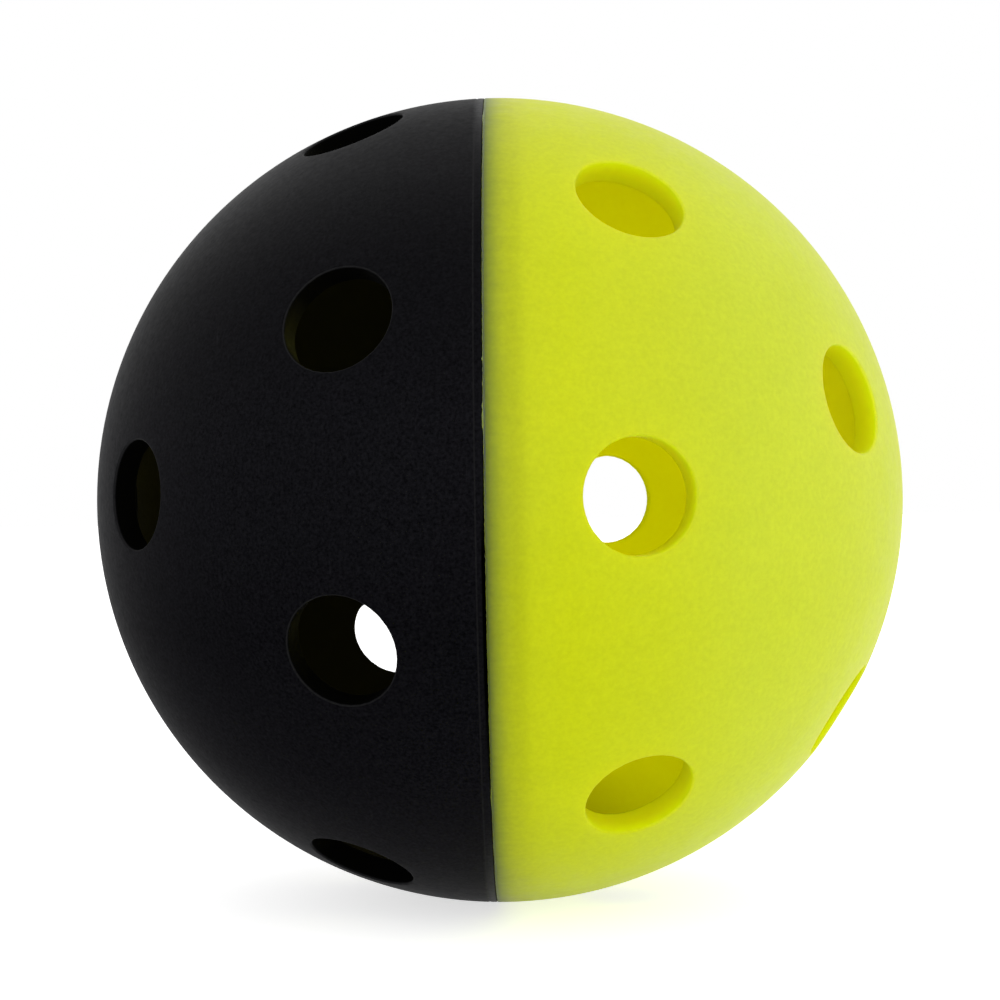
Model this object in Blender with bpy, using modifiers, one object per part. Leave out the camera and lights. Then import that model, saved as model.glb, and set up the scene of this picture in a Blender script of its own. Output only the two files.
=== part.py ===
"""Perforated practice ball: two moulded plastic half shells, lapped and welded at one seam.

Units are metres, +Z is up. The origin is the centre of the ball, +X runs out through the pole of
the yellow half and the seam runs along the YZ plane. The side that faces a viewer is -Y.
"""

import math

import bmesh
import bpy
from mathutils import Vector

# Ball
BALL_DIAMETER = 0.072
WALL = 0.002

# Holes: each half has one at its pole and two rings around it
HOLE_DIAMETER = 0.00915
RIM_ROUND = 0.0002
NEAR_RING_COUNT = 8
NEAR_RING_LATITUDE = math.radians(18.9)
FAR_RING_COUNT = 4
FAR_RING_LATITUDE = math.radians(55.5)
POLE_LATITUDE = math.radians(90.0)

# The black half is welded on at a turn of half a pitch and a little more
BLACK_HALF_TURN = math.radians(24.9)

# Lap joint at the seam: a black lip under a yellow rim, which reaches a little past the middle plane
RIM_REACH = 0.0002
LAP_LENGTH = 0.0022
LAP_CLEARANCE = 0.0003
LAP_END_CLEARANCE = 0.0003

# How far a hole's cutter reaches past each face of the wall
CUTTER_OVERSHOOT = 0.001

# Fineness of the curved faces
SHELL_SEGMENTS = 48
MERIDIAN_SEGMENTS = 13
HOLE_SEGMENTS = 24
RIM_SEGMENTS = 3
SMOOTH_ANGLE = math.radians(35.0)

# Colours as linear red, green, blue
BLACK = (0.012, 0.012, 0.014, 1.0)
YELLOW = (0.60, 0.70, 0.03, 1.0)
BLACK_ROUGHNESS = 0.55
YELLOW_ROUGHNESS = 0.42

# Sizes that follow from the ones above
OUTER_RADIUS = BALL_DIAMETER / 2
INNER_RADIUS = OUTER_RADIUS - WALL
HOLE_RADIUS = HOLE_DIAMETER / 2
LAP_THICKNESS = (WALL - LAP_CLEARANCE) / 2
SKIRT_RADIUS = OUTER_RADIUS - LAP_THICKNESS
LIP_RADIUS = SKIRT_RADIUS - LAP_CLEARANCE
SHOULDER_HEIGHT = LAP_LENGTH + LAP_END_CLEARANCE
SEAM_LATITUDE = -math.asin(RIM_REACH / OUTER_RADIUS)
MERGE_DISTANCE = WALL / 2000

# Local Z of a turned shell runs along the ball's X axis
SHELL_TURN = (0.0, math.pi / 2, 0.0)


def clear_scene():
    """Remove every object, so that the script can be run again."""
    for old in list(bpy.data.objects):
        bpy.data.objects.remove(old, do_unlink=True)
    for old in list(bpy.data.collections):
        bpy.data.collections.remove(old)


def new_collection(name, parent):
    """Add an empty collection under another one."""
    made = bpy.data.collections.new(name)
    parent.children.link(made)
    return made


def plastic(name, colour, roughness):
    """A moulded plastic of one colour."""
    material = bpy.data.materials.new(name)
    material.use_nodes = True
    shader = material.node_tree.nodes["Principled BSDF"]
    shader.inputs["Base Color"].default_value = colour
    shader.inputs["Roughness"].default_value = roughness
    shader.inputs["Metallic"].default_value = 0.0
    material.diffuse_color = colour
    return material


def arc(radius, start, end, segments, centre=(0.0, 0.0)):
    """Points (radius, height) of a circular arc between two angles above the horizontal."""
    points = []
    for step in range(segments + 1):
        angle = start + (end - start) * step / segments
        points.append((centre[0] + radius * math.cos(angle), centre[1] + radius * math.sin(angle)))
    return points


def turned(name, profile, segments, collection):
    """Turn a profile of (radius, height) points, top to bottom on its outer side, about local Z."""
    mesh = bpy.data.meshes.new(name)
    shape = bmesh.new()
    corners = [shape.verts.new((radius, 0.0, height)) for radius, height in profile]
    for upper, lower in zip(corners, corners[1:]):
        shape.edges.new((upper, lower))
    shape.to_mesh(mesh)
    shape.free()
    piece = bpy.data.objects.new(name, mesh)
    collection.objects.link(piece)
    screw = piece.modifiers.new("Turn", "SCREW")
    screw.axis = "Z"
    screw.steps = segments
    screw.render_steps = segments
    screw.use_merge_vertices = True
    screw.merge_threshold = MERGE_DISTANCE
    return piece


def yellow_profile():
    """From the outer pole down to the seam, up the rebate and back to the inner pole."""
    outside = arc(OUTER_RADIUS, POLE_LATITUDE, SEAM_LATITUDE, MERIDIAN_SEGMENTS)
    shoulder_angle = math.asin(SHOULDER_HEIGHT / INNER_RADIUS)
    inside = arc(INNER_RADIUS, shoulder_angle, POLE_LATITUDE, MERIDIAN_SEGMENTS)
    rebate = [(SKIRT_RADIUS, -RIM_REACH), (SKIRT_RADIUS, SHOULDER_HEIGHT)]
    return on_axis(outside + rebate + inside)


def black_profile():
    """From the inner pole up to the lip, over it and down the outside to the outer pole."""
    inside = arc(INNER_RADIUS, -POLE_LATITUDE, 0.0, MERIDIAN_SEGMENTS)
    lip = [(INNER_RADIUS, LAP_LENGTH), (LIP_RADIUS, LAP_LENGTH), (LIP_RADIUS, -RIM_REACH)]
    outside = arc(OUTER_RADIUS, SEAM_LATITUDE, -POLE_LATITUDE, MERIDIAN_SEGMENTS)
    return on_axis(inside + lip + outside)


def on_axis(profile):
    """Set the two ends of a profile exactly on the axis that it turns about."""
    return [(0.0, profile[0][1])] + profile[1:-1] + [(0.0, profile[-1][1])]


def hole_profile():
    """A bore whose mouth flares out in a quarter round to the surface of the ball."""
    mouth_radius = HOLE_RADIUS + RIM_ROUND
    mouth_height = math.sqrt(OUTER_RADIUS**2 - mouth_radius**2)
    flare = arc(
        RIM_ROUND,
        math.pi / 2,
        math.pi,
        RIM_SEGMENTS,
        (mouth_radius, mouth_height - RIM_ROUND),
    )
    top = OUTER_RADIUS + CUTTER_OVERSHOOT
    bottom = math.sqrt(INNER_RADIUS**2 - HOLE_RADIUS**2) - CUTTER_OVERSHOOT
    return [(0.0, top), (mouth_radius, top)] + flare + [(HOLE_RADIUS, bottom), (0.0, bottom)]


def hole_direction(side, latitude, azimuth):
    """Way out through a hole: latitude from the seam, azimuth from the front upwards."""
    across = math.cos(latitude)
    return Vector(
        (
            side * math.sin(latitude),
            -across * math.cos(azimuth),
            across * math.sin(azimuth),
        )
    )


def hole_directions(side, turn):
    """The holes of one half, with its rings turned about the ball's axis.

    Both halves have the same pattern and face away from each other, so the far ring is half a pitch
    ahead of the near ring on one side and half a pitch behind it on the other.
    """
    near_pitch = math.tau / NEAR_RING_COUNT
    far_pitch = math.tau / FAR_RING_COUNT
    directions = [hole_direction(side, POLE_LATITUDE, 0.0)]
    for index in range(NEAR_RING_COUNT):
        directions.append(hole_direction(side, NEAR_RING_LATITUDE, turn + index * near_pitch))
    for index in range(FAR_RING_COUNT):
        azimuth = turn + side * near_pitch / 2 + index * far_pitch
        directions.append(hole_direction(side, FAR_RING_LATITUDE, azimuth))
    return directions


def hole_cutters(name, directions, collection):
    """One cutter for each hole, in a collection of their own."""
    group = new_collection(name, collection)
    for index, direction in enumerate(directions):
        cutter = turned(f"{name}_{index:02d}", hole_profile(), HOLE_SEGMENTS, group)
        cutter.rotation_mode = "QUATERNION"
        cutter.rotation_quaternion = direction.to_track_quat("Z", "Y")
        cutter.hide_render = True
        cutter.display_type = "WIRE"
    return group


def half_shell(name, profile, cutters, material, collection):
    """Turn one half, cut its holes and keep the result as a smooth mesh with sharp edges."""
    shell = turned(name, profile, SHELL_SEGMENTS, collection)
    shell.rotation_euler = SHELL_TURN
    cut = shell.modifiers.new("Holes", "BOOLEAN")
    cut.operation = "DIFFERENCE"
    cut.solver = "EXACT"
    cut.operand_type = "COLLECTION"
    cut.collection = cutters
    evaluated = shell.evaluated_get(bpy.context.evaluated_depsgraph_get())
    mesh = bpy.data.meshes.new_from_object(evaluated)
    shell.modifiers.clear()
    shell.data = mesh
    mesh.name = name
    mesh.shade_smooth()
    mesh.set_sharp_from_angle(angle=SMOOTH_ANGLE)
    mesh.materials.clear()
    mesh.materials.append(material)
    return shell


def build_ball():
    """Make the two halves and the cutters that pierce them."""
    clear_scene()
    ball = new_collection("practice_ball", bpy.context.scene.collection)
    cutters = new_collection("hole_cutters", bpy.context.scene.collection)

    yellow_holes = hole_cutters("yellow_hole", hole_directions(1.0, 0.0), cutters)
    black_holes = hole_cutters("black_hole", hole_directions(-1.0, BLACK_HALF_TURN), cutters)

    yellow = plastic("yellow_plastic", YELLOW, YELLOW_ROUGHNESS)
    black = plastic("black_plastic", BLACK, BLACK_ROUGHNESS)
    half_shell("yellow_half_shell", yellow_profile(), yellow_holes, yellow, ball)
    half_shell("black_half_shell", black_profile(), black_holes, black, ball)


build_ball()
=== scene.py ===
"""Two-tone practice ball: the finished half shells, their plastics and the stage around them.

The halves are turned about the ball's axis, pierced with round holes whose mouths are rounded over,
and run into each other at a lapped and welded seam. Lengths are in metres, +X is the yellow pole.
"""

import math

import bmesh
import bpy
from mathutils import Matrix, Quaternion, Vector, noise


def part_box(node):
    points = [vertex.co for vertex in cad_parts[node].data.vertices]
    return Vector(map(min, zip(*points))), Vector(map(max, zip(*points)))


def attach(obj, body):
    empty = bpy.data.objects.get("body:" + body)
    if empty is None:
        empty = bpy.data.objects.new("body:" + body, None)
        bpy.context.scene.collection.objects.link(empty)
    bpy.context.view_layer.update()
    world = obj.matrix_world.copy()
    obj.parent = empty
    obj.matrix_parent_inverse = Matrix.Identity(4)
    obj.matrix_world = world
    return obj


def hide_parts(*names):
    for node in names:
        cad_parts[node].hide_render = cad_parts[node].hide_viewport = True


bl_info = {
    "name": "Practice Ball",
    "version": (1, 0, 0),
    "blender": (4, 5, 0),
    "location": "3D View > Sidebar > Practice Ball",
    "description": "Two pierced half shells of moulded plastic, welded at one seam",
    "category": "Object",
}

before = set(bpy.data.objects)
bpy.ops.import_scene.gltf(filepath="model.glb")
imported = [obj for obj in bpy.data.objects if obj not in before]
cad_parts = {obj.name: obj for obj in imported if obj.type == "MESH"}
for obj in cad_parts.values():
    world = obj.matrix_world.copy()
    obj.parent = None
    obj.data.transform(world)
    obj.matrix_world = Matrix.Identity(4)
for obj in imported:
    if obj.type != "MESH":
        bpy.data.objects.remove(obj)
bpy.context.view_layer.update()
CAD_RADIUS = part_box("yellow_half_shell")[1].z

MM = 0.001

# The finished skin lies this far inside the corner points of the frame
SKIN_INSET = 0.025 * MM

# Fineness of the meshes
AROUND_STEPS = 320
MERIDIAN_STEPS = 60
ROUND_STEPS = 7
BORE_STEPS = 3
FLASH_STEPS = 1800
MERGE_DISTANCE = 0.002 * MM
RING_GAP = 0.12 * MM
RING_NEARNESS = 0.05 * MM
PLANE_DISTANCE = 0.01 * MM
POLE_OPENING = math.radians(4.0)
SHARP_ANGLE = math.radians(38.0)

# Rows of the yellow skin beside its edge, as distances from it in millimetres
YELLOW_ROWS = (2.2, 1.8, 1.45, 1.1, 0.8, 0.55, 0.35, 0.2, 0.1, 0.04)
# Rows of the yellow edge itself: distance from it and depth below the ball's radius, in millimetres
YELLOW_EDGE_ROWS = ((0.012, 0.006), (0.0, 0.02))
# Rows of the black skin beside the yellow edge: distance from it and depth below the ball's surface,
# in millimetres, with a faint line that the mould leaves
BLACK_ROWS = (
    (2.1, 0.0),
    (1.6, 0.0),
    (1.2, 0.0),
    (0.95, 0.0),
    (0.84, 0.004),
    (0.77, 0.03),
    (0.71, 0.042),
    (0.65, 0.02),
    (0.58, 0.004),
    (0.48, 0.0),
)
# Rows of the black edge as it rounds down into the groove, which the weld fills in places
BLACK_EDGE_ROWS = ((0.38, 0.012), (0.29, 0.045), (0.22, 0.1), (0.17, 0.18), (0.14, 0.3))
# Foot of the groove: distance from the yellow edge, and heights of its two corners over the lip
GROOVE_FOOT = 0.12
GROOVE_FOOT_HEIGHTS = (0.15, 0.1)
# The groove is widest at this height on a ball of radius 1, and narrows within this span to this share
GROOVE_WIDEST = -0.3
GROOVE_SPAN = 0.35
GROOVE_NARROW = 0.35

# Bead of flash: the width of its root, its least reach, and the share of the reach at its shoulders
FLASH_ROOT = 0.12 * MM
FLASH_LEAST = 0.005 * MM
FLASH_SHOULDERS = 0.6
# Coarse and fine raggedness of the flash: scale round a circle of radius 1, and share of its reach
FLASH_COARSE = (9.0, 0.5)
FLASH_FINE = (120.0, 1.1)
FLASH_OFFSET = Vector((3.0, 1.0, 7.0))
# Places where the weld has pushed out more flash: azimuth and spread in degrees, reach in millimetres
BURRS = (
    (8.8, 0.5, 0.07),
    (9.9, 0.7, 0.1),
    (11.2, 0.35, 0.08),
    (14.0, 0.3, 0.06),
    (17.2, 0.25, 0.08),
    (-41.0, 1.2, 0.05),
    (63.0, 2.0, 0.05),
    (128.0, 1.6, 0.1),
    (205.0, 2.2, 0.08),
)

# Range that the values of a noise mostly keep to
NOISE_RANGE = (0.3, 0.7)
# Patterns of the plastics, as scale, detail and roughness of a noise
STREAKS = (1100.0, 4.0, 0.65)
CLOUDS = (90.0, 4.0, 0.55)
MOTTLE = (2200.0, 4.0, 0.65)
YELLOW_SHEEN = (700.0, 3.0, 0.5)
YELLOW_TEXTURE = (1800.0, 4.0, 0.6)
GRAIN = (4000.0, 4.0, 0.65)
SCUFFS = (2600.0, 2.0, 0.5)
PATCHES = (2200.0, 3.0, 0.6)
UNEVEN_GLOSS = (2600.0, 4.0, 0.6)
BLACK_SHEEN = (1400.0, 3.0, 0.5)
BLACK_TEXTURE = (1500.0, 5.0, 0.65)
# Depth of the moulded texture
TEXTURE_DEPTH = 0.1 * MM

# Heights over the inner skin between which its finish gives way to that of the bores
INNER_SKIN = (0.012 * MM, 0.018 * MM)

# Depths below the ball's surface between which the finish of the yellow bores gives way to the skin's
YELLOW_SKIN = (0.3 * MM, 0.025 * MM)
# How far the painted shade beside the rim, where the black lip under it takes light from the translucent
# yellow, has cleared to yellow, at distances from its edge in millimetres
BAND_SHARES = (
    (0.12, 0.1),
    (0.4, 0.255),
    (0.8, 0.445),
    (1.2, 0.645),
    (1.6, 0.8),
    (2.0, 0.9),
    (2.6, 0.975),
    (3.4, 1.0),
)
BAND_WIDTH = 3.5
# Shares by which streaks, drawn out across the seam, stretch and shrink that band
BAND_STRAY = (0.88, 1.12)
STREAK_SHAPE = (0.45, 1.0, 1.0)
# Colour of the yellow from the seam (0) to the pole (1), as shares of its red, green and blue; paler and
# lighter towards the pole, which is painted light and reflection
BODY_SHADES = (
    (0.1, (1.0, 1.0, 0.4)),
    (0.17, (1.0, 1.0, 0.3)),
    (0.37, (1.0, 1.005, 1.1)),
    (0.56, (0.995, 1.03, 2.6)),
    (0.8, (1.0, 1.035, 3.0)),
)
# How much pale flash shows at the rim, from the bottom of the ball (0) to its top (1)
FLASH_SHARES = ((0.0, 0.6), (0.12, 0.4), (0.22, 0.05), (0.42, 0.0), (0.5, 0.5), (0.56, 1.0))
# Distances from the rim's edge where the flash colour begins and where it is full
FLASH_BAND = (0.15 * MM, 0.08 * MM)
# Darkest and lightest of the moulding clouds and of the fine mottle
CLOUD_SHADES = ((0.95, 0.955, 0.9), (1.0, 1.0, 1.0))
MOTTLE_SHADES = ((0.932, 0.938, 0.87), (1.035, 1.035, 1.035))
# Painted light and shade inside the yellow half: how light it is, from low and near the seam (0) to high
# and far (1)
INNER_SHADES = (
    (0.0, 0.42),
    (0.05, 0.53),
    (0.1, 0.65),
    (0.17, 0.77),
    (0.45, 0.66),
    (0.72, 0.62),
    (0.85, 0.68),
    (0.93, 0.87),
    (1.0, 1.0),
)
# That place is the height plus this share of the distance from the seam, between these two lengths
INNER_SLOPE = 0.9
INNER_SPAN = (-22.0 * MM, 30.0 * MM)
# Colour of the yellow bores from the inside (0) to their mouths (1), as shares of red, green and blue;
# darker towards the mouths, which is painted shade that evens out the light there
BORE_SHADES = (
    (0.0, (1.0, 1.0, 1.0)),
    (0.4, (0.97, 0.985, 1.0)),
    (0.75, (0.86, 0.93, 1.0)),
    (1.0, (0.76, 0.89, 1.0)),
)
# Red, green and blue that the yellow lets through
GLOW_COLOUR = (1.0, 0.9, 0.03)
# The glow of a bore grows from this height over the inner skin to this depth below the surface
BORE_GLOW_START = 0.2 * MM
BORE_GLOW_END = 0.3 * MM
# Share of the glow that the thin yellow edge keeps, and distances from it between which it comes back
EDGE_GLOW = 0.03
EDGE_GLOW_BAND = (0.1 * MM, 0.3 * MM)
# Gloss of the yellow half by height, which is painted reflection, and the share of it that its bores have
YELLOW_GLOSS = (
    (0.02, 0.46),
    (0.1, 0.4),
    (0.2, 0.32),
    (0.38, 0.27),
    (0.5, 0.4),
    (0.62, 0.48),
    (0.8, 0.52),
    (0.95, 0.58),
)
YELLOW_BORE_GLOSS = 0.2
YELLOW_IOR = 1.25
YELLOW_ROUGHNESS = (0.42, 0.52)
YELLOW_BUMP = 0.06

# Depths below the ball's surface between which the finish of the black bores gives way to the skin's
BLACK_SKIN = (0.25 * MM, 0.08 * MM)
# Distances from the yellow edge between which the black skin gives way to its edge at the seam
BLACK_EDGE = (-0.95 * MM, -0.3 * MM)
# Tone of the black by height, and how far its grain goes towards full black and towards white
BLACK_TONE = (
    (0.0, 1.4),
    (0.2, 1.35),
    (0.36, 1.1),
    (0.48, 1.35),
    (0.58, 1.4),
    (0.66, 1.15),
    (0.76, 0.95),
    (1.0, 0.85),
)
GRAIN_DARK = 0.75
GRAIN_LIGHT = 0.0026
# Faint scuffs: their tone, where in their noise they begin, and how they are drawn out and turned
SCUFF_SHADES = ((0.7, (0.0, 0.0, 0.0)), (0.8, (0.003, 0.003, 0.0033)))
SCUFF_SHAPE = (1.0, 0.12, 0.12)
SCUFF_TURN = (0.3, 0.0, 0.5)
# Dust and painted sheen on the edge at the seam by height, lighter at the top and bottom, and the shares
# between which dust and wear are patchy
EDGE_DUST_AND_SHEEN = (
    (0.0, 0.03),
    (0.04, 0.016),
    (0.075, 0.007),
    (0.12, 0.0),
    (0.8, 0.0),
    (0.87, 0.003),
    (0.91, 0.0085),
    (0.933, 0.02),
    (0.96, 0.045),
    (1.0, 0.055),
)
PATCH_SHARES = (0.5, 1.4)
# Painted shade where the weld leaves the groove open: by height, and distances from the yellow edge where
# it begins and is full
OPEN_GROOVE = ((0.2, 0.0), (0.3, 1.0), (0.44, 1.0), (0.49, 0.0))
GROOVE_BAND = (-0.38 * MM, -0.26 * MM)
# Black plastic out of the light: painted shade, full black, in the groove; painted yellow light from the
# yellow half on the inside of the shell; painted shade in its bores
UNLIT = (0.0, 0.0, 0.0, 1.0)
BLACK_INSIDE_LIT = (0.0155, 0.014, 0.005, 1.0)
BLACK_BORE_SHADE = (0.0014, 0.0014, 0.0012, 1.0)
# Painted glint on the rounded mouths of its holes: its colour, and the depths where it starts and ends
MOUTH_GLINT = (0.012, 0.012, 0.0125, 1.0)
GLINT_START = (0.17 * MM, 0.09 * MM)
GLINT_END = (0.035 * MM, 0.015 * MM)
# Gloss of the black half by height and of its edge at the seam, which is painted reflection, and how
# uneven both are
BLACK_GLOSS = (
    (0.0, 0.36),
    (0.09, 0.22),
    (0.2, 0.1),
    (0.35, 0.09),
    (0.5, 0.2),
    (0.65, 0.36),
    (0.75, 0.46),
    (0.825, 0.7),
    (0.875, 0.85),
    (0.925, 0.66),
    (1.0, 0.58),
)
EDGE_GLOSS = ((0.0, 0.8), (0.08, 0.55), (0.2, 0.19), (0.5, 0.3), (0.8, 0.55), (0.92, 0.8), (1.0, 0.9))
GLOSS_SHARES = (0.75, 1.25)
# Share of the gloss that the black bores have, and how far a wall faces the yellow half to have all of it,
# a painted reflection of its light
BLACK_BORE_GLOSS = 0.12
BORE_FACING = (0.65, 0.9)
BLACK_IOR = 1.1
BLACK_ROUGHNESS = (0.48, 0.54)
BLACK_BUMP = 0.08

# Stage: a wide white floor, which glows a little more to the eye, and two softboxes
WHITE = (1.0, 1.0, 1.0, 1.0)
FLOOR_HALF_WIDTH = 6.0
FLOOR_WHITE = (0.86, 0.86, 0.86, 1.0)
FLOOR_GLOW = (0.2, 0.66)
KEY_PLACE = (0.5, -0.45, 0.5)
KEY_SIZE = 0.5
FILL_PLACE = (0.1, -0.6, -0.01)
FILL_SIZE = 0.3
SENSOR_WIDTH = 36.0
NEAREST_VIEW = 0.01


class ShellSizes(bpy.types.PropertyGroup):
    """Sizes that both half shells share."""

    radius: bpy.props.FloatProperty(
        name="Ball Radius",
        description="Outer radius of the ball",
        default=CAD_RADIUS - SKIN_INSET,
        unit="LENGTH",
    )
    wall: bpy.props.FloatProperty(
        name="Wall", description="Thickness of the shell", default=2.0 * MM, unit="LENGTH"
    )
    hole_radius: bpy.props.FloatProperty(
        name="Hole Radius", description="Radius of a bore", default=4.575 * MM, unit="LENGTH"
    )
    mouth_round: bpy.props.FloatProperty(
        name="Mouth Round",
        description="Radius that a hole's mouth is rounded over with",
        default=0.2 * MM,
        unit="LENGTH",
    )
    near_latitude: bpy.props.FloatProperty(
        name="Near Ring",
        description="Latitude of the eight holes next to the seam",
        default=math.radians(18.9),
        subtype="ANGLE",
    )
    far_latitude: bpy.props.FloatProperty(
        name="Far Ring",
        description="Latitude of the four holes round the pole",
        default=math.radians(55.5),
        subtype="ANGLE",
    )
    near_count: bpy.props.IntProperty(
        name="Near Holes", description="Holes in the ring next to the seam", default=8
    )
    far_count: bpy.props.IntProperty(
        name="Far Holes", description="Holes in the ring round the pole", default=4
    )
    black_turn: bpy.props.FloatProperty(
        name="Black Turn",
        description="How far the black half is turned about the axis against the yellow half",
        default=math.radians(24.9),
        subtype="ANGLE",
    )


class SeamSizes(bpy.types.PropertyGroup):
    """Sizes of the lap and of the weld that shows outside it."""

    rim_reach: bpy.props.FloatProperty(
        name="Rim Reach",
        description="How far the yellow rim reaches past the middle of the ball",
        default=0.2 * MM,
        unit="LENGTH",
    )
    lap_length: bpy.props.FloatProperty(
        name="Lap", description="Length of the black lip", default=2.2 * MM, unit="LENGTH"
    )
    lap_clearance: bpy.props.FloatProperty(
        name="Lap Clearance",
        description="Gap between the lip and the yellow rim",
        default=0.3 * MM,
        unit="LENGTH",
    )
    end_clearance: bpy.props.FloatProperty(
        name="End Clearance",
        description="Gap between the end of the lip and the shoulder behind it",
        default=0.3 * MM,
        unit="LENGTH",
    )
    flash_reach: bpy.props.FloatProperty(
        name="Flash Reach",
        description="How far the yellow flash reaches over the groove on average",
        default=0.03 * MM,
        unit="LENGTH",
    )
    flash_thickness: bpy.props.FloatProperty(
        name="Flash Thickness",
        description="Thickness of the flash at its root",
        default=0.09 * MM,
        unit="LENGTH",
    )


class Finishes(bpy.types.PropertyGroup):
    """Colours of the two plastics, with painted light and shade among them, and how deep light goes into
    the yellow one.
    """

    yellow: bpy.props.FloatVectorProperty(
        name="Yellow",
        description="Colour of the yellow plastic",
        default=(0.66, 0.74, 0.013),
        subtype="COLOR",
        min=0.0,
        max=1.0,
    )
    # Painted shade: the yellow rim is darker where the black lip under it takes light from the translucent
    # plastic
    rim_shade: bpy.props.FloatVectorProperty(
        name="Olive",
        description="Colour of the yellow rim where the black lip shows through it",
        default=(0.15, 0.19, 0.03),
        subtype="COLOR",
        min=0.0,
        max=1.0,
    )
    flash: bpy.props.FloatVectorProperty(
        name="Flash",
        description="Colour of the thin flash at the yellow rim",
        default=(0.26, 0.31, 0.09),
        subtype="COLOR",
        min=0.0,
        max=1.0,
    )
    # Lighter than the yellow of the skin: painted light, for the light that comes through the wall into
    # the bores and the inside
    bore: bpy.props.FloatVectorProperty(
        name="Bores",
        description="Colour of the yellow plastic where light comes out at the bores and inside",
        default=(0.98, 1.0, 0.005),
        subtype="COLOR",
        min=0.0,
        max=1.0,
    )
    black: bpy.props.FloatVectorProperty(
        name="Black",
        description="Colour of the black plastic",
        default=(0.0031, 0.003, 0.0044),
        subtype="COLOR",
        min=0.0,
        max=1.0,
    )
    outer_glow: bpy.props.FloatProperty(
        name="Outer Glow",
        description="How deep light goes into the yellow plastic from outside",
        default=5.0 * MM,
        unit="LENGTH",
    )
    mouth_glow: bpy.props.FloatProperty(
        name="Mouth Glow",
        description="How deep light goes into the yellow plastic at the mouth of a bore",
        default=1.5 * MM,
        unit="LENGTH",
    )
    bore_glow: bpy.props.FloatProperty(
        name="Bore Glow",
        description="How deep light goes into the yellow plastic at the inner end of a bore",
        default=0.15 * MM,
        unit="LENGTH",
    )
    inner_glow: bpy.props.FloatProperty(
        name="Inner Glow",
        description="How deep light goes into the yellow plastic from inside",
        default=18.0 * MM,
        unit="LENGTH",
    )


class StageSizes(bpy.types.PropertyGroup):
    """Camera and light."""

    distance: bpy.props.FloatProperty(
        name="Camera Distance",
        description="From the ball's centre to the camera, in ball radii",
        default=5.7037,
    )
    azimuth: bpy.props.FloatProperty(
        name="Camera Azimuth",
        description="Turn of the camera towards the yellow half",
        default=math.radians(0.96),
        subtype="ANGLE",
    )
    elevation: bpy.props.FloatProperty(
        name="Camera Elevation",
        description="Height of the camera over the ball's centre, as an angle",
        default=math.radians(-0.19),
        subtype="ANGLE",
    )
    pan: bpy.props.FloatProperty(
        name="Camera Pan",
        description="How far the camera looks past the ball's centre, to the left",
        default=math.radians(3.69),
        subtype="ANGLE",
    )
    roll: bpy.props.FloatProperty(
        name="Camera Roll",
        description="Turn of the camera about its line of sight",
        default=math.radians(-0.925),
        subtype="ANGLE",
    )
    lens: bpy.props.FloatProperty(
        name="Lens", description="Focal length in millimetres", default=81.1
    )
    shift: bpy.props.FloatProperty(
        name="Lens Shift", description="Sideways shift of the lens", default=0.15
    )
    ambient: bpy.props.FloatProperty(
        name="Ambient", description="Strength of the light from all round", default=0.83
    )
    key: bpy.props.FloatProperty(
        name="Key", description="Power of the large lamp above and to the right", default=0.6
    )
    fill: bpy.props.FloatProperty(
        name="Fill", description="Power of the low lamp in front", default=0.35
    )


def of_kind(items, kind):
    """The elements of one kind among what an operator returned."""
    return [item for item in items if isinstance(item, kind)]


def verts_in(items):
    return of_kind(items, bmesh.types.BMVert)


def edges_in(items):
    return of_kind(items, bmesh.types.BMEdge)


def everything(shape):
    """All the geometry of a bmesh as one list."""
    return shape.verts[:] + shape.edges[:] + shape.faces[:]


def hole_direction(side, latitude, azimuth):
    """Way out through a hole: latitude from the seam, azimuth from the front upwards."""
    across = math.cos(latitude)
    return Vector(
        (
            side * math.sin(latitude),
            -across * math.cos(azimuth),
            across * math.sin(azimuth),
        )
    )


def hole_directions(sizes, side, turn):
    """The pole hole, the ring beside the seam and the ring round the pole of one half."""
    near_pitch = math.tau / sizes.near_count
    far_pitch = math.tau / sizes.far_count
    directions = [Vector((side, 0.0, 0.0))]
    for index in range(sizes.near_count):
        directions.append(hole_direction(side, sizes.near_latitude, turn + index * near_pitch))
    for index in range(sizes.far_count):
        azimuth = turn + side * near_pitch / 2 + index * far_pitch
        directions.append(hole_direction(side, sizes.far_latitude, azimuth))
    return directions


def shoulder(seam):
    """Distance from the middle of the ball to the shoulder inside the yellow rim."""
    return seam.lap_length + seam.end_clearance


def dome(shape, sizes, seam, side):
    """Turn a meridian about the ball's axis: the outer skin of one half, open at both ends."""
    radius = sizes.radius
    start = math.asin(shoulder(seam) / (radius - sizes.wall))
    corner = shape.verts.new((side * radius * math.sin(start), -radius * math.cos(start), 0.0))
    bmesh.ops.spin(
        shape,
        geom=[corner],
        cent=(0.0, 0.0, 0.0),
        axis=(0.0, 0.0, side),
        angle=math.pi / 2 - start - POLE_OPENING,
        steps=MERIDIAN_STEPS,
    )
    bmesh.ops.spin(
        shape,
        geom=shape.verts[:] + shape.edges[:],
        cent=(0.0, 0.0, 0.0),
        axis=(1.0, 0.0, 0.0),
        angle=math.tau,
        steps=AROUND_STEPS,
        use_merge=True,
    )
    bmesh.ops.remove_doubles(shape, verts=shape.verts[:], dist=MERGE_DISTANCE)


def ring_point(point, axis, radius, height):
    """The point on a circle about an axis through the ball's centre, on the same side as a point."""
    outward = (point - axis * point.dot(axis)).normalized()
    return axis * height + outward * radius


def place_ring(verts, axis, radius, height):
    """Set the corners of a ring on one circle about an axis."""
    for vert in verts:
        vert.co = ring_point(vert.co, axis, radius, height)


def next_ring(shape, edges):
    """Extrude a ring of edges on the spot: the new edges and corners."""
    made = bmesh.ops.extrude_edge_only(shape, edges=edges)["geom"]
    return [edge for edge in edges_in(made) if edge.is_boundary], verts_in(made)


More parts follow.
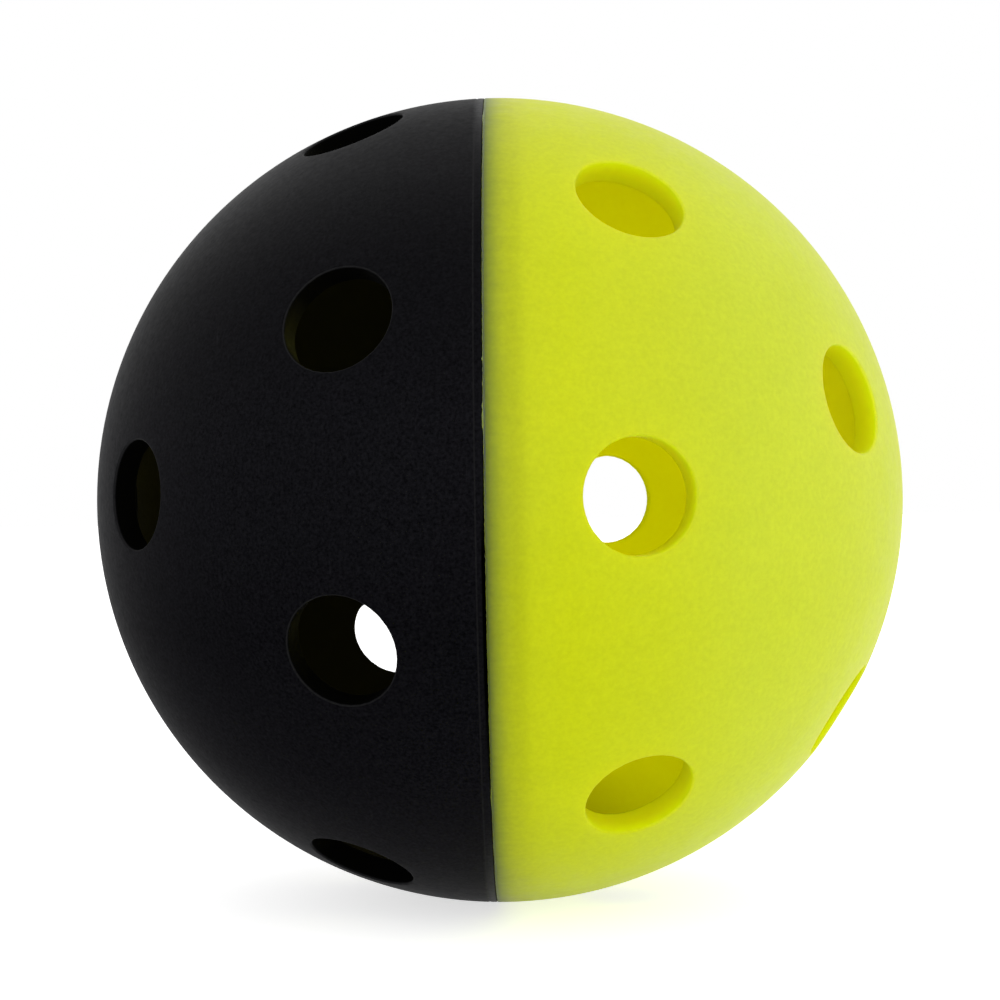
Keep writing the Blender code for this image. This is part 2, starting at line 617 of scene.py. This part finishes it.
def mouth_profile(sizes):
    """(radius, height) of the rings from the ball's surface over the rounded mouth into the bore."""
    bore = sizes.hole_radius
    bend = sizes.mouth_round
    centre_radius = bore + bend
    centre_height = math.sqrt((sizes.radius - bend) ** 2 - centre_radius**2)
    first = math.pi / 2 - math.asin(centre_radius / (sizes.radius - bend))
    rings = []
    for step in range(ROUND_STEPS + 1):
        angle = first + (math.pi - first) * step / ROUND_STEPS
        rings.append(
            (centre_radius + bend * math.cos(angle), centre_height + bend * math.sin(angle))
        )
    return rings


def inward(sizes):
    """Scale from the outer skin to the inner skin."""
    return (sizes.radius - sizes.wall) / sizes.radius


def bore_end(sizes):
    """(radius, height) of the ring where a bore meets the inside of the shell."""
    radius, height = mouth_profile(sizes)[0]
    return radius * inward(sizes), height * inward(sizes)


def cut_mouth(shape, sizes, axis):
    """Cut a round opening in the skin and return the axis, radius and height of its ring."""
    radius, height = mouth_profile(sizes)[0]
    cut = bmesh.ops.bisect_plane(
        shape,
        geom=everything(shape),
        dist=PLANE_DISTANCE,
        plane_co=axis * height,
        plane_no=axis,
        clear_outer=True,
    )["geom_cut"]
    rim = verts_in(cut)
    place_ring(rim, axis, radius, height)
    bmesh.ops.remove_doubles(shape, verts=rim, dist=RING_GAP)
    return axis, radius, height


def on_ring(point, axis, radius, height):
    """Whether a point lies on a circle about an axis through the ball's centre."""
    along = point.dot(axis)
    aside = (point - axis * along).length
    return abs(along - height) < RING_NEARNESS and abs(aside - radius) < RING_NEARNESS


def ring_edges(edges, axis, radius, height):
    """The boundary edges that lie on one circle about an axis."""
    return [
        edge
        for edge in edges
        if edge.is_boundary
        and all(on_ring(vert.co, axis, radius, height) for vert in edge.verts)
    ]


def line_bore(shape, sizes, axis, rim):
    """Round a mouth over and run its bore through the wall, with a little draft, to the inner skin."""
    rings = mouth_profile(sizes)
    top = Vector(rings[-1])
    end = Vector(bore_end(sizes))
    for step in range(1, BORE_STEPS + 1):
        rings.append(tuple(top.lerp(end, step / BORE_STEPS)))
    edges = rim
    for radius, height in rings[1:]:
        edges, verts = next_ring(shape, edges)
        place_ring(verts, axis, radius, height)


def seam_point(point, across, radius):
    """The point of a ring round the ball's axis at a distance along the axis."""
    outward = Vector((0.0, point.y, point.z)).normalized()
    return Vector((across, outward.y * radius, outward.z * radius))


def seam_azimuth(point):
    """Angle round the ball's axis, from the front upwards."""
    return math.atan2(point.z, -point.y)


def on_ball(radius, across):
    """Radius of the ring on a sphere at a distance along its axis."""
    return math.sqrt(radius**2 - across**2)


def groove_width(azimuth):
    """Share of the groove's full width that is left open at an angle round the seam."""
    away = (math.sin(azimuth) - GROOVE_WIDEST) / GROOVE_SPAN
    return GROOVE_NARROW + (1.0 - GROOVE_NARROW) * max(0.0, 1.0 - away**2)


def flash_at(seam, azimuth):
    """Reach of the flash over the groove at an angle round the seam."""
    where = Vector((math.cos(azimuth), math.sin(azimuth), 0.0))
    coarse_scale, coarse_share = FLASH_COARSE
    fine_scale, fine_share = FLASH_FINE
    coarse = noise.noise(where * coarse_scale)
    fine = noise.noise(where * fine_scale + FLASH_OFFSET)
    reach = seam.flash_reach * (1.0 + coarse_share * coarse + fine_share * fine)
    for place, spread, height in BURRS:
        away = math.remainder(azimuth - math.radians(place), math.tau)
        reach += height * MM * math.exp(-((away / math.radians(spread)) ** 2))
    return max(reach, FLASH_LEAST)


def flash_profile(seam):
    """(distance past the rim's edge, share of the thickness below the skin) round the bead of flash."""
    reach = seam.flash_reach
    shoulders = FLASH_SHOULDERS * reach
    return (
        (-FLASH_ROOT, 0.08),
        (0.0, 0.05),
        (shoulders, 0.08),
        (reach, 0.3),
        (shoulders, 0.7),
        (0.0, 0.95),
        (-FLASH_ROOT, 0.9),
    )


def add_flash(shape, sizes, seam):
    """Run a thin ragged bead of flash round the yellow rim, as a closed ring of its own."""
    edge = -seam.rim_reach
    ring = bmesh.new()
    corners = [
        ring.verts.new((edge - past, depth * seam.flash_thickness - sizes.radius, 0.0))
        for past, depth in flash_profile(seam)
    ]
    loop = [ring.edges.new(pair) for pair in zip(corners, corners[1:] + corners[:1])]
    bmesh.ops.spin(
        ring,
        geom=corners + loop,
        cent=(0.0, 0.0, 0.0),
        axis=(1.0, 0.0, 0.0),
        angle=math.tau,
        steps=FLASH_STEPS,
        use_merge=True,
    )
    for vert in ring.verts:
        if vert.co.x < edge:
            share = (edge - vert.co.x) / seam.flash_reach
            vert.co.x = edge - share * flash_at(seam, seam_azimuth(vert.co))
    mesh = bpy.data.meshes.new("flash")
    ring.to_mesh(mesh)
    ring.free()
    shape.from_mesh(mesh)
    bpy.data.meshes.remove(mesh)


def add_rows(shape, edges, rows):
    """Extrude a seam ring through rows of (distance along the axis, radius).

    A distance that changes round the ball is a function of the corner that it moves.
    """
    for across, radius in rows:
        edges, verts = next_ring(shape, edges)
        for vert in verts:
            place = across(vert.co) if callable(across) else across
            vert.co = seam_point(vert.co, place, radius)


def pierced_skins(shape, sizes, seam, side, turn):
    """Outer and inner skin of a half, joined through its bores; returns the outer seam ring."""
    dome(shape, sizes, seam, side)
    mouths = [cut_mouth(shape, sizes, axis) for axis in hole_directions(sizes, side, turn)]
    rims = [ring_edges(shape.edges, *mouth) for mouth in mouths]
    rim_edges = {edge for rim in rims for edge in rim}
    seam_edges = [edge for edge in shape.edges if edge.is_boundary and edge not in rim_edges]

    inner = verts_in(bmesh.ops.duplicate(shape, geom=everything(shape))["geom"])
    bmesh.ops.scale(shape, vec=[inward(sizes)] * 3, verts=inner)
    for (axis, _, _), rim in zip(mouths, rims):
        line_bore(shape, sizes, axis, rim)
    return seam_edges


def finished_mesh(shape, name, material):
    """Close the shape, turn its faces outward and keep it as a smooth mesh."""
    bmesh.ops.remove_doubles(shape, verts=shape.verts[:], dist=MERGE_DISTANCE)
    bmesh.ops.recalc_face_normals(shape, faces=shape.faces[:])
    open_edges = sum(1 for edge in shape.edges if not edge.is_manifold)
    if open_edges:
        raise RuntimeError(f"{name} has {open_edges} open edges")
    mesh = bpy.data.meshes.new(name)
    shape.to_mesh(mesh)
    shape.free()
    mesh.shade_smooth()
    mesh.set_sharp_from_angle(angle=SHARP_ANGLE)
    mesh.materials.append(material)
    return mesh


def add_piece(name, mesh, node):
    """Show a finished mesh in place of a half of the frame."""
    piece = bpy.data.objects.new(name, mesh)
    bpy.context.scene.collection.objects.link(piece)
    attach(piece, "root")
    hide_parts(node)


class NodeTree:
    """Short hand for adding nodes to one material or world."""

    def __init__(self, owner):
        owner.use_nodes = True
        self.tree = owner.node_tree
        self.tree.nodes.clear()

    def add(self, kind, **settings):
        made = self.tree.nodes.new(kind)
        for key, value in settings.items():
            setattr(made, key, value)
        return made

    def link(self, source, target):
        self.tree.links.new(source, target)

    def fill(self, socket, given):
        """Link a socket to what is given, or set it to a constant."""
        if isinstance(given, bpy.types.NodeSocket):
            self.link(given, socket)
        else:
            socket.default_value = given

    def math(self, operation, first, second):
        made = self.add("ShaderNodeMath", operation=operation)
        self.fill(made.inputs[0], first)
        self.fill(made.inputs[1], second)
        return made.outputs[0]

    def mix(self, factor, first, second, blend="MIX"):
        """Blend two colours; the colour sockets of a Mix node are its seventh and eighth."""
        made = self.add("ShaderNodeMix", data_type="RGBA", blend_type=blend)
        self.fill(made.inputs[0], factor)
        self.fill(made.inputs[6], first)
        self.fill(made.inputs[7], second)
        return made.outputs[2]

    def parts(self, vector):
        made = self.add("ShaderNodeSeparateXYZ")
        self.link(vector, made.inputs[0])
        return made.outputs

    def drawn_out(self, vector, scale, turn=(0.0, 0.0, 0.0)):
        made = self.add("ShaderNodeMapping")
        self.link(vector, made.inputs["Vector"])
        made.inputs["Scale"].default_value = scale
        made.inputs["Rotation"].default_value = turn
        return made.outputs["Vector"]

    def noise(self, vector, scale, detail, roughness):
        made = self.add("ShaderNodeTexNoise")
        self.link(vector, made.inputs["Vector"])
        made.inputs["Scale"].default_value = scale
        made.inputs["Detail"].default_value = detail
        made.inputs["Roughness"].default_value = roughness
        return made.outputs["Fac"]

    def spread(self, value, low, high, to_low=0.0, to_high=1.0):
        made = self.add("ShaderNodeMapRange")
        self.link(value, made.inputs["Value"])
        made.inputs["From Min"].default_value = low
        made.inputs["From Max"].default_value = high
        made.inputs["To Min"].default_value = to_low
        made.inputs["To Max"].default_value = to_high
        return made.outputs["Result"]

    def uneven(self, vector, pattern, low, high):
        """A noise pattern, spread between two values."""
        return self.spread(self.noise(vector, *pattern), *NOISE_RANGE, low, high)

    def ramp(self, value, stops):
        made = self.add("ShaderNodeValToRGB")
        self.link(value, made.inputs["Fac"])
        steps = made.color_ramp.elements
        while len(steps) < len(stops):
            steps.new(0.5)
        for step, (position, colour) in zip(steps, stops):
            step.position = position
            step.color = (*colour, 1.0)
        return made.outputs["Color"]

    def graded(self, value, shares):
        """A ramp of plain shares, from a table of (position, share)."""
        return self.ramp(value, [(position, (share,) * 3) for position, share in shares])

    def tinted(self, value, colour, shades):
        """A ramp of one colour, from a table of (position, shares of its red, green and blue)."""
        stops = [
            (position, tuple(part * share for part, share in zip(colour, shares)))
            for position, shares in shades
        ]
        return self.ramp(value, stops)

    def speckled(self, vector, pattern, shades):
        """A noise pattern between two colours."""
        return self.ramp(self.noise(vector, *pattern), list(zip(NOISE_RANGE, shades)))


class Places:
    """Where on the ball a point of a plastic lies, as sockets of its node tree."""

    def __init__(self, nodes, sizes, seam):
        self.nodes = nodes
        self.radius = sizes.radius
        self.inner_radius = sizes.radius - sizes.wall
        coordinates = nodes.add("ShaderNodeTexCoord").outputs
        self.point = coordinates["Object"]
        self.facing = coordinates["Normal"]
        parts = nodes.parts(self.point)
        self.across = parts["X"]
        self.up = parts["Z"]
        self.height = nodes.spread(self.up, -self.radius, self.radius)
        self.from_edge = nodes.math("ADD", self.across, seam.rim_reach)
        length = nodes.add("ShaderNodeVectorMath", operation="LENGTH")
        nodes.link(self.point, length.inputs[0])
        self.from_centre = length.outputs["Value"]
        low, high = INNER_SKIN
        self.off_inner = nodes.spread(
            self.from_centre, self.inner_radius + low, self.inner_radius + high
        )

    def above(self, deep, shallow):
        """0 below one depth under the ball's surface, and 1 above another."""
        return self.nodes.spread(self.from_centre, self.radius - deep, self.radius - shallow)


def opposite(nodes, share):
    """1 where a share is 0, and 0 where it is 1."""
    return nodes.spread(share, 0.0, 1.0, 1.0, 0.0)


def blended(first, second, share):
    """A colour part of the way from one to another."""
    return tuple(a + (b - a) * share for a, b in zip(first, second))


def finish_surface(nodes, shader, point, sheen, roughness, texture, bump_strength):
    """Give a plastic its uneven sheen and its fine moulded texture."""
    nodes.link(nodes.uneven(point, sheen, *roughness), shader.inputs["Roughness"])
    bump = nodes.add("ShaderNodeBump")
    bump.inputs["Strength"].default_value = bump_strength
    bump.inputs["Distance"].default_value = TEXTURE_DEPTH
    nodes.link(nodes.noise(point, *texture), bump.inputs["Height"])
    nodes.link(bump.outputs["Normal"], shader.inputs["Normal"])
    output = nodes.add("ShaderNodeOutputMaterial")
    nodes.link(shader.outputs["BSDF"], output.inputs["Surface"])


def yellow_skin(nodes, places, finishes):
    """Colour of the yellow half outside: painted shade and flash at its rim, clouds and a fine mottle all
    over, and painted light and reflection towards the pole.
    """
    stray = nodes.uneven(nodes.drawn_out(places.point, STREAK_SHAPE), STREAKS, *BAND_STRAY)
    strayed = nodes.math("MULTIPLY", places.from_edge, stray)
    # Painted shade beside the rim, where the black lip under it takes the light
    unshaded = nodes.graded(
        nodes.spread(strayed, 0.0, BAND_WIDTH * MM),
        [(distance / BAND_WIDTH, share) for distance, share in BAND_SHARES],
    )
    to_pole = nodes.spread(places.across, 0.0, places.radius)
    # Paler and lighter towards the pole: painted light and reflection
    body = nodes.tinted(to_pole, finishes.yellow, BODY_SHADES)
    rim_shaded = nodes.mix(unshaded, (*finishes.rim_shade, 1.0), body)
    flashed = nodes.math(
        "MULTIPLY",
        nodes.spread(places.from_edge, *FLASH_BAND),
        nodes.graded(places.height, FLASH_SHARES),
    )
    banded = nodes.mix(flashed, rim_shaded, (*finishes.flash, 1.0))
    clouds = nodes.speckled(places.point, CLOUDS, CLOUD_SHADES)
    mottle = nodes.speckled(places.point, MOTTLE, MOTTLE_SHADES)
    return nodes.mix(1.0, nodes.mix(1.0, banded, clouds, "MULTIPLY"), mottle, "MULTIPLY")


def yellow_walls(nodes, places, finishes):
    """Colour of the yellow half inside the shell and in its bores, where light comes out: painted light,
    lighter than the skin, with painted shade low down near the seam and towards the mouths.
    """
    # Painted light and shade inside the shell, by height and distance from the seam
    slope = nodes.math("MULTIPLY", places.across, INNER_SLOPE)
    lit = nodes.spread(nodes.math("ADD", places.up, slope), *INNER_SPAN)
    shade = nodes.graded(lit, INNER_SHADES)
    inner = nodes.mix(1.0, shade, (*finishes.bore, 1.0), "MULTIPLY")
    to_mouth = nodes.spread(places.from_centre, places.inner_radius, places.radius)
    bore = nodes.tinted(to_mouth, finishes.bore, BORE_SHADES)
    return nodes.mix(places.off_inner, inner, bore)


def yellow_glow(nodes, places, finishes, outside):
    """How deep light goes: far inside the shell, little in its bores, hardly at the thin edge."""
    inner = nodes.spread(places.off_inner, 0.0, 1.0, finishes.inner_glow, finishes.bore_glow)
    bore = nodes.spread(
        places.from_centre,
        places.inner_radius + BORE_GLOW_START,
        places.radius - BORE_GLOW_END,
        finishes.bore_glow,
        finishes.mouth_glow,
    )
    outer = nodes.mix(outside, bore, (finishes.outer_glow,) * 3 + (1.0,))
    thick = nodes.spread(places.from_edge, *EDGE_GLOW_BAND, EDGE_GLOW, 1.0)
    return nodes.math("MULTIPLY", nodes.math("MAXIMUM", inner, outer), thick)


def yellow_plastic(finishes, sizes, seam):
    """Slightly translucent yellow, with painted shade where the black lip lies under its rim and painted
    light and shade inside.
    """
    material = bpy.data.materials.new("yellow_moulded_plastic")
    nodes = NodeTree(material)
    places = Places(nodes, sizes, seam)
    outside = places.above(*YELLOW_SKIN)
    walls = yellow_walls(nodes, places, finishes)
    colour = nodes.mix(outside, walls, yellow_skin(nodes, places, finishes))
    # Gloss by height: painted reflection
    gloss = nodes.math(
        "MULTIPLY",
        nodes.graded(places.height, YELLOW_GLOSS),
        nodes.spread(outside, 0.0, 1.0, YELLOW_BORE_GLOSS, 1.0),
    )

    shader = nodes.add("ShaderNodeBsdfPrincipled", subsurface_method="RANDOM_WALK")
    nodes.link(colour, shader.inputs["Base Color"])
    nodes.link(gloss, shader.inputs["Specular IOR Level"])
    shader.inputs["IOR"].default_value = YELLOW_IOR
    shader.inputs["Subsurface Weight"].default_value = 1.0
    shader.inputs["Subsurface Radius"].default_value = GLOW_COLOUR
    glow = yellow_glow(nodes, places, finishes, outside)
    nodes.link(glow, shader.inputs["Subsurface Scale"])
    finish_surface(
        nodes, shader, places.point, YELLOW_SHEEN, YELLOW_ROUGHNESS, YELLOW_TEXTURE, YELLOW_BUMP
    )
    return material


def black_skin(nodes, places, finishes, dust_and_sheen_mask, groove):
    """Colour of the black half outside: grain, faint scuffs, dust and painted sheen at the seam, and
    painted shade in the groove.
    """
    black = tuple(finishes.black)
    grain_shades = (blended(black, UNLIT, GRAIN_DARK), blended(black, WHITE, GRAIN_LIGHT))
    grain = nodes.speckled(places.point, GRAIN, grain_shades)
    toned = nodes.mix(1.0, grain, nodes.graded(places.height, BLACK_TONE), "MULTIPLY")
    scuff_point = nodes.drawn_out(places.point, SCUFF_SHAPE, SCUFF_TURN)
    scuffs = nodes.ramp(nodes.noise(scuff_point, *SCUFFS), SCUFF_SHADES)
    # Dust and painted sheen at the seam, lighter at the top and bottom
    dust_and_sheen = nodes.mix(dust_and_sheen_mask, UNLIT, nodes.graded(places.height, EDGE_DUST_AND_SHEEN))
    scuffed = nodes.mix(1.0, nodes.mix(1.0, toned, scuffs, "ADD"), dust_and_sheen, "ADD")
    return nodes.mix(groove, scuffed, UNLIT)


def black_plastic(finishes, sizes, seam):
    """Satin black with a fine moulded grain, painted glints on the mouths of its holes, dust and painted
    sheen at the seam, and painted shade in its bores.
    """
    material = bpy.data.materials.new("black_moulded_plastic")
    nodes = NodeTree(material)
    places = Places(nodes, sizes, seam)
    outside = places.above(*BLACK_SKIN)
    at_edge = nodes.spread(places.from_edge, *BLACK_EDGE)
    patchy = nodes.uneven(places.point, PATCHES, *PATCH_SHARES)
    # Painted shade in the open groove, which also takes away its gloss
    groove = nodes.math(
        "MULTIPLY",
        nodes.graded(places.height, OPEN_GROOVE),
        nodes.spread(places.from_edge, *GROOVE_BAND),
    )

    skin = black_skin(nodes, places, finishes, nodes.math("MULTIPLY", at_edge, patchy), groove)
    # Painted yellow light on the inside of the shell and painted shade in the bores
    walls = nodes.mix(places.off_inner, BLACK_INSIDE_LIT, BLACK_BORE_SHADE)
    # Painted glint on the rounded mouths of the holes
    mouth = nodes.math(
        "MULTIPLY", places.above(*GLINT_START), opposite(nodes, places.above(*GLINT_END))
    )
    mouth_glint = nodes.math("MULTIPLY", nodes.math("MULTIPLY", mouth, opposite(nodes, at_edge)), patchy)
    colour = nodes.mix(mouth_glint, nodes.mix(outside, walls, skin), MOUTH_GLINT)

    # Gloss by height and at the seam: painted reflection
    gloss = nodes.mix(
        at_edge,
        nodes.graded(places.height, BLACK_GLOSS),
        nodes.graded(places.height, EDGE_GLOSS),
    )
    uneven = nodes.uneven(places.point, UNEVEN_GLOSS, *GLOSS_SHARES)
    kept = nodes.math("MULTIPLY", uneven, opposite(nodes, groove))
    # Bore walls that face the yellow half keep their gloss: painted reflection of its light
    facing = nodes.parts(places.facing)["X"]
    bore_gloss = nodes.spread(facing, *BORE_FACING, BLACK_BORE_GLOSS, 1.0)
    shine = nodes.math(
        "MULTIPLY",
        nodes.math("MULTIPLY", gloss, kept),
        nodes.math("MAXIMUM", outside, bore_gloss),
    )

    shader = nodes.add("ShaderNodeBsdfPrincipled")
    nodes.link(colour, shader.inputs["Base Color"])
    nodes.link(shine, shader.inputs["Specular IOR Level"])
    shader.inputs["IOR"].default_value = BLACK_IOR
    finish_surface(
        nodes, shader, places.point, BLACK_SHEEN, BLACK_ROUGHNESS, BLACK_TEXTURE, BLACK_BUMP
    )
    return material


class PracticeBallYellowHalf(bpy.types.Operator):
    """Make the yellow half shell, whose rim covers the black lip"""

    bl_idname = "practice_ball.yellow_half"
    bl_label = "Yellow Half Shell"

    def execute(self, context):
        sizes = context.scene.ball_shells
        seam = context.scene.ball_seam
        radius = sizes.radius
        shape = bmesh.new()
        outer = pierced_skins(shape, sizes, seam, 1.0, 0.0)

        edge = -seam.rim_reach
        skirt = radius - (sizes.wall - seam.lap_clearance) / 2
        back = shoulder(seam)
        rows = [(edge + row * MM, on_ball(radius, edge + row * MM)) for row in YELLOW_ROWS]
        rows += [(edge + row * MM, radius - depth * MM) for row, depth in YELLOW_EDGE_ROWS]
        rows += [
            (edge, skirt),
            (back, skirt),
            (back, on_ball(radius - sizes.wall, back)),
        ]
        add_rows(shape, outer, rows)
        add_flash(shape, sizes, seam)
        plastic = yellow_plastic(context.scene.ball_finishes, sizes, seam)
        mesh = finished_mesh(shape, "yellow_half", plastic)
        add_piece("yellow_half", mesh, "yellow_half_shell")
        return {"FINISHED"}


class PracticeBallBlackHalf(bpy.types.Operator):
    """Make the black half shell, with the lip that goes under the yellow rim"""

    bl_idname = "practice_ball.black_half"
    bl_label = "Black Half Shell"

    def execute(self, context):
        sizes = context.scene.ball_shells
        seam = context.scene.ball_seam
        radius = sizes.radius
        inside = radius - sizes.wall
        shape = bmesh.new()
        outer = pierced_skins(shape, sizes, seam, -1.0, sizes.black_turn)

        edge = -seam.rim_reach
        lip = radius - (sizes.wall + seam.lap_clearance) / 2
        back = shoulder(seam)

        def narrowed(row):
            return lambda point: edge - row * MM * groove_width(seam_azimuth(point))

        rows = [
            (edge - row * MM, on_ball(radius, edge - row * MM) - depth * MM)
            for row, depth in BLACK_ROWS
        ]
        rows += [
            (narrowed(row), on_ball(radius, row * MM) - depth * MM)
            for row, depth in BLACK_EDGE_ROWS
        ]
        foot_outer, foot_inner = GROOVE_FOOT_HEIGHTS
        rows += [
            (narrowed(GROOVE_FOOT), lip + foot_outer * MM),
            (edge, lip + foot_inner * MM),
            (edge, lip),
            (seam.lap_length, lip),
            (seam.lap_length, inside),
            (0.0, inside),
            (-back / 2, on_ball(inside, back / 2)),
            (-back, on_ball(inside, back)),
        ]
        add_rows(shape, outer, rows)
        plastic = black_plastic(context.scene.ball_finishes, sizes, seam)
        mesh = finished_mesh(shape, "black_half", plastic)
        add_piece("black_half", mesh, "black_half_shell")
        return {"FINISHED"}


def white_to_the_eye(nodes):
    """1 for rays from the camera, a mirror or glass, and 0 for the rest."""
    path = nodes.add("ShaderNodeLightPath")
    seen = nodes.math("MAXIMUM", path.outputs["Is Camera Ray"], path.outputs["Is Glossy Ray"])
    return nodes.math("MAXIMUM", seen, path.outputs["Is Transmission Ray"])


def white_light(nodes, strength):
    """Plain white from all round."""
    made = nodes.add("ShaderNodeBackground")
    made.inputs["Color"].default_value = WHITE
    made.inputs["Strength"].default_value = strength
    return made.outputs["Background"]


def studio_world(stage):
    """White all round, which lights the ball a little less than it shows."""
    world = bpy.data.worlds.new("studio")
    nodes = NodeTree(world)
    either = nodes.add("ShaderNodeMixShader")
    nodes.link(white_to_the_eye(nodes), either.inputs[0])
    nodes.link(white_light(nodes, stage.ambient), either.inputs[1])
    nodes.link(white_light(nodes, 1.0), either.inputs[2])
    output = nodes.add("ShaderNodeOutputWorld")
    nodes.link(either.outputs[0], output.inputs["Surface"])
    return world


def floor_material():
    """White floor that keeps a soft shadow."""
    material = bpy.data.materials.new("studio_floor")
    nodes = NodeTree(material)
    matt = nodes.add("ShaderNodeBsdfDiffuse")
    matt.inputs["Color"].default_value = FLOOR_WHITE
    glow = nodes.add("ShaderNodeEmission")
    lift = nodes.spread(white_to_the_eye(nodes), 0.0, 1.0, *FLOOR_GLOW)
    nodes.link(lift, glow.inputs["Strength"])
    both = nodes.add("ShaderNodeAddShader")
    nodes.link(matt.outputs[0], both.inputs[0])
    nodes.link(glow.outputs[0], both.inputs[1])
    output = nodes.add("ShaderNodeOutputMaterial")
    nodes.link(both.outputs[0], output.inputs["Surface"])
    return material


def add_floor(radius):
    """A wide plain floor under the ball."""
    shape = bmesh.new()
    bmesh.ops.create_grid(shape, x_segments=1, y_segments=1, size=FLOOR_HALF_WIDTH)
    bmesh.ops.translate(shape, vec=(0.0, 0.0, -radius), verts=shape.verts[:])
    mesh = bpy.data.meshes.new("studio_floor")
    shape.to_mesh(mesh)
    shape.free()
    mesh.materials.append(floor_material())
    floor = bpy.data.objects.new("studio_floor", mesh)
    bpy.context.scene.collection.objects.link(floor)


def add_lamp(name, place, size, power):
    """A square softbox that points at the ball."""
    data = bpy.data.lights.new(name, "AREA")
    data.size = size
    data.energy = power
    lamp = bpy.data.objects.new(name, data)
    lamp.location = place
    lamp.rotation_mode = "QUATERNION"
    lamp.rotation_quaternion = (-Vector(place)).to_track_quat("-Z", "Y")
    bpy.context.scene.collection.objects.link(lamp)


def add_camera(stage, radius):
    """The camera of the photograph."""
    data = bpy.data.cameras.new("photograph")
    data.sensor_width = SENSOR_WIDTH
    data.lens = stage.lens
    data.shift_x = stage.shift
    data.clip_start = NEAREST_VIEW
    camera = bpy.data.objects.new("photograph", data)
    level = math.cos(stage.elevation)
    back = Vector(
        (
            math.sin(stage.azimuth) * level,
            -math.cos(stage.azimuth) * level,
            math.sin(stage.elevation),
        )
    )
    camera.location = back * stage.distance * radius
    camera.rotation_mode = "QUATERNION"
    camera.rotation_quaternion = (
        (-back).to_track_quat("-Z", "Y")
        @ Quaternion((0.0, 0.0, 1.0), stage.roll)
        @ Quaternion((0.0, 1.0, 0.0), stage.pan)
    )
    bpy.context.scene.collection.objects.link(camera)
    bpy.context.scene.camera = camera


class PracticeBallStage(bpy.types.Operator):
    """Add the floor, the light and the camera"""

    bl_idname = "practice_ball.stage"
    bl_label = "Stage"

    def execute(self, context):
        stage = context.scene.ball_stage
        radius = context.scene.ball_shells.radius
        add_floor(radius)
        context.scene.world = studio_world(stage)
        add_lamp("key_softbox", KEY_PLACE, KEY_SIZE, stage.key)
        add_lamp("fill_softbox", FILL_PLACE, FILL_SIZE, stage.fill)
        add_camera(stage, radius)
        context.scene.view_settings.view_transform = "Standard"
        return {"FINISHED"}


class PracticeBallPanel(bpy.types.Panel):
    """Lists the ball's pieces and their sizes"""

    bl_idname = "VIEW3D_PT_practice_ball"
    bl_label = "Practice Ball"
    bl_space_type = "VIEW_3D"
    bl_region_type = "UI"
    bl_category = "Practice Ball"

    def draw(self, context):
        for operator in OPERATORS:
            self.layout.operator(operator.bl_idname)
        for name, group in GROUPS:
            box = self.layout.box()
            for key in group.__annotations__:
                box.prop(getattr(context.scene, name), key)


OPERATORS = (PracticeBallYellowHalf, PracticeBallBlackHalf, PracticeBallStage)
GROUPS = (
    ("ball_shells", ShellSizes),
    ("ball_seam", SeamSizes),
    ("ball_finishes", Finishes),
    ("ball_stage", StageSizes),
)
CLASSES = (*(group for _, group in GROUPS), *OPERATORS, PracticeBallPanel)


def register():
    for cls in CLASSES:
        bpy.utils.register_class(cls)
    for name, group in GROUPS:
        setattr(bpy.types.Scene, name, bpy.props.PointerProperty(type=group))


def unregister():
    for name, _ in GROUPS:
        delattr(bpy.types.Scene, name)
    for cls in reversed(CLASSES):
        bpy.utils.unregister_class(cls)


def main():
    """Build the ball and its stage."""
    register()
    bpy.ops.practice_ball.yellow_half()
    bpy.ops.practice_ball.black_half()
    bpy.ops.practice_ball.stage()


if __name__ == "__main__":
    main()
